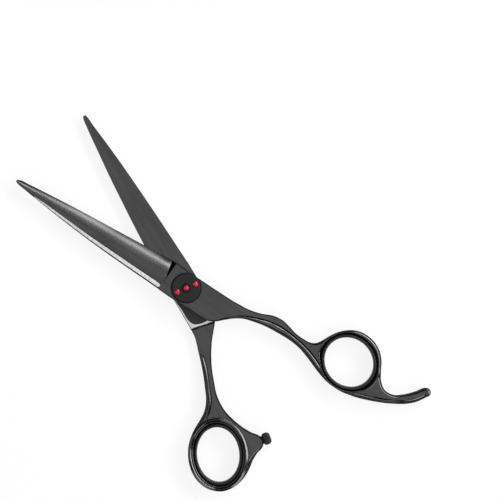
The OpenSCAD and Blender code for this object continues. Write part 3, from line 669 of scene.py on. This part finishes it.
def handle_sections(rows, steps, left_groove, right_groove):
    """Sections along the handle. A side is a quarter ellipse at the inner corner and another at the outer.
    left_groove gives the depth of the groove beside the rounded left side of the outer face, and
    right_groove of the one beside the right side of the inner face."""
    r = np.asarray(rows)
    left, right = spline(r[:, [0, 1, 4, 6]], steps), spline(r[:, [2, 3, 5, 7]], steps)
    lp, (left_out, left_in) = left[:, :2], np.maximum(left[:, 2:].T, LEAST_ROUND)
    rp, (right_out, right_in) = right[:, :2], np.maximum(right[:, 2:].T, LEAST_ROUND)
    tl, tr = unit(np.gradient(lp, axis=0)), unit(np.gradient(rp, axis=0))
    nl, nr = np.c_[-tl[:, 1], tl[:, 0]], np.c_[tr[:, 1], -tr[:, 0]]
    if right_groove is not plain:
        top = np.maximum(FLUTE_SIDE[0], FLUTE_SIDE[1] * shoulder(rp[:, 0]))
        right_in = np.where(rp[:, 0] > FLUTE_TOP - FLUTE_ROUND, top, right_in)

    def side(p, n, g, f, low_groove, high_groove, low_count, high_count):
        zb, zt = inner_z(p), outer_z(p)
        most = ROUND_SHARE * (zt - zb)
        hb, ht = np.minimum(g, most), np.minimum(f, most)
        a = np.radians(np.linspace(90, 0, low_count))[None, :]
        b = np.radians(np.linspace(0, 90, high_count))[None, :]
        qi = g[:, None] * (1 - np.cos(a))
        qo = f[:, None] * (1 - np.cos(b))
        low, high = (p[:, None, :] + n[:, None, :] * q[..., None] for q in (qi, qo))
        zi = inner_z(low) + corner_drop(qi, g, hb, np.sin(a)) + furrow(qi, g, low_groove)
        zo = outer_z(high) - corner_drop(qo, f, ht, np.sin(b)) - furrow(qo, f, high_groove)
        return np.concatenate([low, zi[..., None]], -1), np.concatenate([high, zo[..., None]], -1)

    no_groove = plain(lp[:, 0])
    ll, lh = side(lp, nl, left_in, left_out, no_groove, left_groove(lp[:, 0]), ARC, BAND)
    rl, rh = side(rp, nr, right_in, right_out, right_groove(rp[:, 0]), no_groove, BAND, ARC)
    u = ((np.arange(FACE) + 1) / (FACE + 1))[None, :, None]
    top = mix(lh[:, -1:], rh[:, -1:], u)
    top[..., 2] = outer_z(top)
    share = ((np.arange(FLOOR // 2) + 0.5) / FLOOR)[None, :, None]
    mid = 0.5 * (ll[:, :1] + rl[:, :1])
    left_floor = mix(mid, ll[:, :1], 2 * share)
    right_floor = mix(rl[:, :1], mid, 2 * share)
    left_floor[..., 2], right_floor[..., 2] = inner_z(left_floor), inner_z(right_floor)
    return np.concatenate([left_floor, ll, lh, top, rh[:, ::-1], rl[:, ::-1], right_floor], 1)


def round_tip(rings):
    """Rounds off the first sections: each shrinks to its middle along a quarter circle."""
    out = rings.copy()
    u = np.linspace(0.98, 0, TIP_ROWS)
    k = np.sqrt(1 - u**2)[:, None, None] * 0.55 + 0.45
    part = out[:TIP_ROWS]
    c = part.mean(1, keepdims=True)
    c[..., 2] = mix(part[..., 2].min(1), part[..., 2].max(1), 0.5)[:, None]
    out[:TIP_ROWS] = c + (part - c) * k
    return out


def half_paint(rings, blade_rows):
    """The finish of each face: 1 on the bright strip of the bevel, whose heel end is rounded, 4, painted shade,
    on the line round it and on the ground step at the heel, and 0 elsewhere."""
    x, y = rings[:-1, :, 0], rings[:-1, :, 1]
    i = np.arange(x.shape[0])[:, None]
    j = x.shape[1] - 1 - np.arange(x.shape[1])[None, :]
    across = (j - FLOOR // 2 - ARC - SPINE_WALL - 0.5) / (BAND - SPINE_WALL)
    from_mid = np.clip((np.abs(across - STRIP_MID) - 0.12) / 0.29, 0, 1)
    corner = STRIP_ROUND * (1 - np.sqrt(1 - from_mid**2))
    start, stop = STRIP_SPAN
    strip = (across > 0) & (across < STRIP_SHARE) & (x > start + corner) & (x < stop)
    # The line round the strip, and below it the ground step's wedge, get 4: painted shade.
    line = (across > -LINE_SHARE) & (across < 1) & (x > start - LINE_LONG) & (x < stop) & ~strip
    first = FLOOR // 2 + ARC + BAND
    on_step = (i >= blade_rows - 1) & (i < blade_rows + HEEL_ROWS)
    wedge = on_step & (j >= first) & (j <= first + FACE) & (y < STEP_SHADE_Y)
    return strip + 4 * (wedge | line).astype(int)


def oval(ring):
    """Points of a hole's edge about its own centre, and the directions straight out of it."""
    t = np.arange(RING_POINTS) * 2 * np.pi / RING_POINTS
    k, seat = ring["k"], ring["seat"]
    edge = np.stack([seat * np.cos(t), k * seat * np.sin(t)], -1)
    return edge, unit(np.stack([k * np.cos(t), np.sin(t)], -1))


def on_ring(ring):
    """The ring's place, as a matrix."""
    return at(*ring["centre"], RIDE, ring["turn"])


def wall_at(start, way, outline, most):
    """How far each ray from start goes before it first meets the closed outline, at most most."""
    a, b = outline, np.roll(outline, -1, 0)
    d = b - a
    det = way[:, None, 0] * d[None, :, 1] - way[:, None, 1] * d[None, :, 0]
    det = np.where(np.abs(det) < 1e-9, 1e-9, det)
    q = a[None] - start[:, None]
    far = (q[..., 0] * d[None, :, 1] - q[..., 1] * d[None, :, 0]) / det
    share = (q[..., 0] * way[:, None, 1] - q[..., 1] * way[:, None, 0]) / det
    hit = (far > 0) & (share >= 0) & (share <= 1)
    return np.minimum(np.where(hit, far, most).min(1), most)


def rim_width(ring, outline, line):
    """The width that the rim has room for all round: the distance from the hole's seat to the outline, or to
    the points of the line beside it but not under 1, smoothed."""
    w = math.radians(ring["turn"])
    spin = np.array([[math.cos(w), math.sin(w)], [-math.sin(w), math.cos(w)]])
    edge, out = oval(ring)
    edge, out = edge @ spin + np.array(ring["centre"]), out @ spin
    wide = wall_at(edge, out, outline, RIM_REACH)
    if line is not None:
        near = np.linalg.norm(edge[:, None] - line[None], axis=-1).min(1)
        wide = np.minimum(wide, np.maximum(near - 0.1, 1.0))
    for _ in range(8):
        wide = np.minimum(wide, 0.25 * np.roll(wide, 1) + 0.5 * wide + 0.25 * np.roll(wide, -1))
    return wide


def carried(name, ring, section, wide):
    """A closed section carried round the hole's ellipse along its own normals; section gives its reach and
    height for the rim's width at each place."""
    edge, out = oval(ring)
    reach, height = section(wide)
    flat = edge[:, None, :] + out[:, None, :] * reach[..., None]
    pts = np.concatenate([flat, np.broadcast_to(height[..., None], flat.shape[:2] + (1,))], -1)
    obj = close(own(name, pts.reshape(-1, 3), round_faces(RING_POINTS, reach.shape[1], True)))
    return put(obj, on_ring(ring))


def scaled(section):
    """A section whose reach is scaled to the rim's width."""
    return lambda wide: (section[None, :, 0] * wide[:, None] / RIM_UNIT, section[None, :, 1])


def crown(upper):
    """The rim's section: the profile upper, and the same mirrored below."""
    lower = [(a, -b) for a, b in upper[::-1]]
    back = [(-0.3, -1.0), (-0.3, 1.0), upper[0]]
    return scaled(spline(upper + [(RIM_REACH, 0.0)] + lower + back, 4)[:-1])


def bowl(upper, side):
    """What is ground away round the hole before the rim goes on: all above a line 0.25 under the rim's inner
    flank, out to where the flank meets the web's face."""
    flank = [(a, b - 0.25) for a, b in upper if a < 0.96]
    section = np.array([(-0.6, flank[0][1])] + flank + [(flank[-1][0], 3.4), (-0.6, 3.4)])
    return scaled(section * (1, side))


def line_groove(side):
    """A narrow V along the rim's outer foot, on the upper side for 1 and on the lower side for -1."""
    v = np.array([(-0.13, 2.9), (0.06, 2.2), (0.16, 2.2), (0.5, 2.9)])
    return lambda wide: (wide[:, None] + v[None, :, 0], side * v[None, :, 1])


def half(name, blade, handle, left_groove, right_groove, materials, ring, upper):
    """One half: blade sections, a ground step at the heel, handle sections, and the ring's rim. A rim with no
    crease beside it gets a line along its foot instead."""
    b = blade_sections(blade, BLADE_STEPS)
    h = handle_sections(handle, HANDLE_STEPS, left_groove, right_groove)
    step = mix(b[-1][None], h[0][None], np.linspace(0, 1, HEEL_ROWS + 2)[1:-1, None, None])
    rings = np.concatenate([round_tip(b), step, h], 0)[:, ::-1]
    obj = tube(name, rings, half_paint(rings, len(b)), materials)
    rows = np.asarray(handle)
    rails = spline(rows[:, :4], HANDLE_STEPS, rows[:, :2])
    line = None
    if left_groove is not plain:
        inwards = unit(np.gradient(rails[:, :2], axis=0))[:, ::-1] * (-1, 1)
        line = rails[:, :2] + inwards * spline(rows[:, [0, 1, 4]], HANDLE_STEPS)[:, 2:]
    wide = rim_width(ring, np.vstack([rails[:, :2], rails[::-1, 2:]]), line)
    cut(obj, *[carried("bowl", ring, bowl(upper, side), wide) for side in (1, -1)])
    combine(obj, "UNION", [carried("rim", ring, crown(upper), wide)])
    if line is None:
        cut(obj, *[carried("groove", ring, line_groove(side), wide) for side in (1, -1)])
    return obj


def ring_hole(ring):
    """The cutter for a ring's seat, an oval that flares as the square of the way past FLARE_FROM."""
    z = np.linspace(-HOLE_HALF, HOLE_HALF, 45)
    flare = FLARE * (np.maximum(np.abs(z) - FLARE_FROM, 0) / 0.5) ** 2
    profile = [(0, z[0])] + list(zip(ring["seat"] + flare, z)) + [(0, z[-1])]
    return put(turned("hole", profile, RING_POINTS, ring["k"]), on_ring(ring))


def ride_recess():
    """The cutter for the crescent recess behind the pivot."""
    radius, first, last = RECESS_ARC
    a = np.radians(np.linspace(first, last, 20))
    outline = np.vstack([spline(RIDE_POCKET, 6), radius * np.stack([np.cos(a), np.sin(a)], -1)])
    return prism("pocket", outline, INNER - 1, INNER + RECESS_DEEP)


def finish_ride(obj):
    """Gives the ride behind the pivot its bare finish, 2, the floor of its recess 3 and the foot of the step 4,
    painted shade, by the place of each face and the way that it looks."""
    c = read_faces(obj, "center", 3) * 1000
    down = read_faces(obj, "normal", 3)[:, 2]
    paint = read_faces(obj, "material_index", 1, np.int32)[:, 0]
    x, high, past = c[:, 0], c[:, 2] - INNER, past_ride(c)
    ride = (np.abs(high) < 0.03) & (down < -0.5) & (x < -1) & (past < 0.1)
    floor_of_recess = (np.abs(high - RECESS_DEEP) < 0.01) & (down < -0.9) & (x < -1) & (x > -15)
    # The foot of the step, just past the ride, gets painted shade.
    foot = (past > 0.1) & (past < 0.75) & (down < -0.5) & (high < 0.3)
    paint = np.where(ride, 2, np.where(floor_of_recess, 3, np.where(foot, 4, paint)))
    obj.data.polygons.foreach_set("material_index", paint.astype(np.int32))
    return obj


THUMB_PLACE = at(turn=-OPEN) @ at(z=TOP) @ Matrix.Rotation(math.pi, 4, "X")

finger = half("finger_half_ground", FINGER_BLADE, FINGER_HANDLE, crease, plain,
              [COATED, STRIP, LAND, RECESS, PAINTED_SHADE_STEEL], FINGER_RING, ARCHED)
cut(finger, ring_hole(FINGER_RING), ride_recess(), drill(BUSH_D, RIDE - 1, TOP + 1),
    drill(PLATE_WELL_D, PLATE_WELL_Z, TOP + 1))
finish_ride(finger)
shade(finger)

thumb = half("thumb_half_ground", THUMB_BLADE, THUMB_HANDLE, plain, flute,
             [COATED_THUMB, STRIP, LAND, RECESS, PAINTED_SHADE_STEEL], THUMB_RING, RIDGED)
cut(thumb, ring_hole(THUMB_RING), ride_recess(), drill(2 * JOURNAL_R, RIDE - 1, TOP + 1),
    drill(2 * HEAD_R, TOP - HEAD_H, TOP + 1), drill(WASHER_D, RIDE - 1, INNER + 0.3))
finish_ride(thumb)
put(thumb, THUMB_PLACE)
shade(thumb)

# ------------ ring inserts


def insert(name, ring):
    """An oval band with a closed section: straight against the seat, a lip at each rim, a flat bore."""
    r, w, h = ring["seat"] - 0.01, INSERT_WALL, INSERT_HALF
    upper = [(r, 0), (r, h - 1.1), (r - 0.14, h - 0.6), (r - 0.36, h - 0.22), (r - 0.55 * w, h - 0.1),
             (r - 0.78 * w, h - 0.26), (r - 0.94 * w, h - 0.7), (r - w, h - 1.3)]
    lower = [(a, -b) for a, b in upper[:0:-1]]
    profile = spline(upper + lower + [upper[0]], 5)[:-1]
    return put(turned(name, profile, RING_POINTS, ring["k"], ring=True, materials=[RUBBER]), on_ring(ring))


finger_insert = insert("finger_ring_rubber", FINGER_RING)
shade(finger_insert, 50)
thumb_insert = insert("thumb_ring_rubber", THUMB_RING)
put(thumb_insert, THUMB_PLACE)
shade(thumb_insert, 50)

# ------------ pivot: dial, screw and stones


def on_dial(away, past=0.0):
    """The x and y of a place on the dial, from its distance out and its turn past the row of stones."""
    a = math.radians(DIAL_TURN + past)
    return away * math.cos(a), away * math.sin(a)


dial_profile = soft_corner([
    (SCREW_R, DIAL_Z), (DIAL_WELL_R, DIAL_Z), (DIAL_WELL_R, TOP + DIAL_GAP), (DIAL_R - 0.15, TOP + DIAL_GAP),
    (DIAL_R, TOP + 0.2), (DIAL_R, DIAL_TOP - 0.45), (DIAL_R - 0.5, DIAL_TOP - 0.03), (DIAL_R - 0.9, DIAL_TOP),
    (SCREW_R + 0.02, DIAL_TOP), (SCREW_R, DIAL_TOP - 0.08)], 0.12)
dial = turned("tension_dial_body", dial_profile, 192, ring=True, materials=[DIAL])
stone_seats = [drill(STONE_D, DIAL_TOP - STONE_DEEP, DIAL_TOP + 1, *on_dial(s * STONE_STEP))
               for s in (-1, 1)]
cut(dial, *stone_seats, drill(BALL_D, DIAL_Z - 0.01, DIAL_Z + 1, *on_dial(BALL_OUT, 90)))
dial.data.materials.append(DIAL_EDGE_SHADE)
# The faces near the rim take the painted shade.
painted_rim_shade = np.linalg.norm(read_faces(dial, "center", 3)[:, :2], axis=1) * 1000 > DIAL_R - 0.42
dial.data.polygons.foreach_set("material_index", (painted_rim_shade * (len(dial.data.materials) - 1)).astype(np.int32))
shade(dial)

post = turned("pivot_screw", soft_corner([
    (0, 0), (HEAD_R - 0.2, 0), (HEAD_R, 0.2), (HEAD_R, HEAD_H), (JOURNAL_R, HEAD_H), (JOURNAL_R, DIAL_Z),
    (SCREW_R - 0.01, DIAL_Z), (SCREW_R - 0.01, DIAL_TOP + 0.1), (1.5, DIAL_TOP + 0.25), (0, DIAL_TOP + 0.25)],
    0.06), 128, materials=[DARK])
cut(post, drill(STONE_D, DIAL_TOP - STONE_DEEP, DIAL_TOP + 1), drill(KEY_HOLE_D, -1, 0.6, KEY_HOLE_STEP),
    drill(KEY_HOLE_D, -1, 0.6, -KEY_HOLE_STEP))
shade(post)


def stone(name, away):
    """A cut stone: a girdle of 16 points, eight star points, an eight-sided table, and a plain cup below."""
    a = np.arange(16) * np.pi / 8
    # Radius, height and turn of each row of points; the turn is a share of the angle between two points
    rows = [(1.19, 0.0, 0), (1.19, 0.55, 0), (1.0, 0.76, 0.5), (0.68, 0.95, 0), (0.55, 1.02, 0)]
    pts = []
    for r, z, turn in rows:
        b = a + turn * np.pi / 8
        pts.append(np.stack([r * np.cos(b), r * np.sin(b), np.full(16, z)], -1))
    for row in pts[3:]:
        row[1::2] = 0.5 * (np.roll(row, 1, 0) + np.roll(row, -1, 0))[1::2]
    i, j = np.meshgrid(np.arange(4), np.arange(16), indexing="ij")
    q = i * 16 + j
    q2 = i * 16 + (j + 1) % 16
    t1 = np.stack([q, q2, q2 + 16], -1).reshape(-1, 3)
    t2 = np.stack([q, q2 + 16, q + 16], -1).reshape(-1, 3)
    caps = [np.arange(16)[None, ::-1], np.arange(64, 80)[None, :]]
    obj = close(own(name, np.vstack(pts), [t1, t2, *caps], None, [STONE]))
    out = np.linalg.norm(read_faces(obj, "center", 3)[:, :2], axis=1) * 1000
    # Painted sparkle: a fixed draw gives each facet a bright or dark tone as painted glints, and the facets
    # near the girdle are kept dark as painted shade.
    k = np.arange(len(out))
    painted_glint = 0.5 + 0.5 * np.sin(k * 2.4 + 5 * np.sin(k * 0.9))
    tone = obj.data.attributes.new("facet", "FLOAT", "FACE")
    tone.data.foreach_set("value", np.where(out > 0.86, 0.25 * painted_glint, 0.12 + 0.88 * painted_glint).astype(np.float32))
    return put(obj, at(*on_dial(away), DIAL_TOP - STONE_DEEP, DIAL_TURN))


centre_stone = stone("centre_stone", 0)
left_stone = stone("left_stone", STONE_STEP)
right_stone = stone("right_stone", -STONE_STEP)

# ------------ finger stop, drawn along Z and laid into the ring
stop_way = THUMB_PLACE @ at(*STOP_PLACE, RIDE, STOP_TURN) @ Matrix.Rotation(math.pi / 2, 4, "Y")
stud_profile = soft_corner([
    (0, -3), (0.9, -3), (0.9, -0.35), (1.6, -0.35), (1.6, 0.5), (0.89, 0.5), (0.89, 2.3), (0, 2.3)], 0.08)
stud = turned("stop_stud_steel", stud_profile, 64, materials=[DARK])
put(stud, stop_way)
shade(stud)

cap_profile = soft_corner([(0, 0.5), (1.8, 0.5), (2.3, 1.0), (2.3, 2.5), (1.7, 3.45), (0, 3.5)], 0.75, 9)
cap_points = 8 * STOP_RIDGES
ridge = 0.11 * (np.cos(STOP_RIDGES * np.arange(cap_points) * 2 * np.pi / cap_points) - 1)
on_side = ease((cap_profile[:, 0] - 1.5) / 0.6)
cap = turned("stop_rubber", cap_profile, cap_points, materials=[STOP], flutes=ridge[:, None] * on_side)
put(cap, stop_way)
shade(cap, 50)

# ------------ bodies, stand-ins and slots
for obj, body, stands_for, slot in [
    (finger, "finger_half", "finger_half", "coated_steel"),
    (thumb, "thumb_half", "thumb_half", "coated_steel_thumb"),
    (finger_insert, "finger_half", "finger_ring_insert", "ring_rubber"),
    (thumb_insert, "thumb_half", "thumb_ring_insert", "ring_rubber"),
    (dial, "dial", "tension_dial", "dial_black"),
    (post, "thumb_half", "pivot_post", "dark_steel"),
    (centre_stone, "thumb_half", "centre_crystal", "red_crystal"),
    (left_stone, "dial", "left_crystal", "red_crystal"),
    (right_stone, "dial", "right_crystal", "red_crystal"),
    (stud, "thumb_half", "stop_stud", "dark_steel"),
    (cap, "thumb_half", "stop_cap", "stop_rubber"),
]:
    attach(obj, body)
    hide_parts(stands_for)

for name, m in [("ride_washer", WHITE), ("pivot_bush", BUSH), ("spring_washer", SPRING),
                ("click_plate", PLATE), ("click_ball", BALL)]:
    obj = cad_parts[name]
    for s in obj.material_slots:
        s.material = m
    if not obj.material_slots:
        obj.data.materials.append(m)

# ------------ floor, light and camera
FLOOR_SIDE, FLOOR_Z = 3000, -0.05
FLOOR_GLOW = 0.85  # share of the floor that is plain white where it is looked at or mirrored
# Lamps, in metres and watts, all aimed at the pivot: name, place, width, height, power
LAMPS = [
    ("overhead", (0.0, 0.0, 1.9), 1.8, 1.8, 10.2),
    ("edge_side", (0.0, -0.84, 0.545), 0.5, 0.22, 3.6),
    ("edge_fill", (0.0, -0.68, 0.87), 0.6, 0.35, 0.9),
    ("ring_side", (-0.553, -0.578, 0.60), 0.8, 0.24, 6.2),
    ("rest_side", (-0.76, 0.21, 0.66), 0.5, 0.3, 2.2),
    ("spine_side", (0.0, 0.82, 0.57), 0.7, 0.4, 1.25),
    ("tip_side", (0.70, 0.44, 0.56), 0.5, 0.4, 0.5),
]
# The camera looks straight down from CAMERA_AWAY above the shears and sees VIEW_WIDE of the floor
CAMERA_PLACE = (-0.01244, -0.02455, 1.2045)
CAMERA_RIGHT = (-0.8453, -0.5343)
VIEW_WIDE, CAMERA_AWAY, SENSOR = 185.5, 1200, 36

corners = [(x * FLOOR_SIDE, y * FLOOR_SIDE, FLOOR_Z) for x, y in ((-1, -1), (1, -1), (1, 1), (-1, 1))]
floor = own("floor", corners, np.array([[0, 1, 2, 3]]))


def pale_floor():
    """Matt white that keeps soft shadows, mixed with plain white where it is looked at or mirrored."""
    m, t, s = finish_of("pale_floor")
    s.inputs["Base Color"].default_value = (0.92, 0.92, 0.92, 1)
    s.inputs["Roughness"].default_value = 0.9
    s.inputs["Specular IOR Level"].default_value = 0.1
    path = node(t, "ShaderNodeLightPath")
    seen = path.outputs["Is Camera Ray"]
    for kind in ("Is Glossy Ray", "Is Transmission Ray"):
        either = node(t, "ShaderNodeMath", operation="MAXIMUM")
        t.links.new(seen, either.inputs[0])
        t.links.new(path.outputs[kind], either.inputs[1])
        seen = either.outputs[0]
    amount = node(t, "ShaderNodeMath", operation="MULTIPLY")
    amount.inputs[1].default_value = FLOOR_GLOW
    glow = node(t, "ShaderNodeEmission", Color=(1, 1, 1, 1), Strength=1.0)
    blend = node(t, "ShaderNodeMixShader")
    t.links.new(seen, amount.inputs[0])
    t.links.new(amount.outputs[0], blend.inputs[0])
    t.links.new(s.outputs["BSDF"], blend.inputs[1])
    t.links.new(glow.outputs["Emission"], blend.inputs[2])
    t.links.new(blend.outputs["Shader"], t.nodes["Material Output"].inputs["Surface"])
    return m


floor.data.materials.append(pale_floor())

world = bpy.data.worlds.new("studio")
bpy.context.scene.world = world
world.use_nodes = True
world.node_tree.nodes["Background"].inputs["Color"].default_value = (0.11, 0.11, 0.11, 1)


def softbox(name, place, wide, high, power):
    """A rectangular lamp at place that faces the pivot, with its width level."""
    data = bpy.data.lights.new(name, "AREA")
    data.shape = "RECTANGLE"
    data.size, data.size_y, data.energy = wide, high, power
    lamp = bpy.data.objects.new(name, data)
    bpy.context.collection.objects.link(lamp)
    way = -np.array(place) / np.linalg.norm(place)
    right = unit(np.cross(way, (0, 0, 1.0) if abs(way[2]) < 0.99 else (0, 1.0, 0)))
    turn = np.c_[right, np.cross(right, way), -way, place]
    lamp.matrix_world = Matrix([*turn.tolist(), [0, 0, 0, 1]])


for row in LAMPS:
    softbox(*row)

camera_data = bpy.data.cameras.new("camera")
camera_data.sensor_width = SENSOR
camera_data.lens = SENSOR * CAMERA_AWAY / VIEW_WIDE
camera_data.clip_start = 0.05
camera_data.clip_end = 20
camera = bpy.data.objects.new("camera", camera_data)
bpy.context.collection.objects.link(camera)
camera_turn = math.atan2(CAMERA_RIGHT[1], CAMERA_RIGHT[0])
camera.matrix_world = Matrix.Translation(CAMERA_PLACE) @ Matrix.Rotation(camera_turn, 4, "Z")
bpy.context.scene.camera = camera
bpy.context.scene.view_settings.view_transform = "Standard"

bpy.context.view_layer.update()
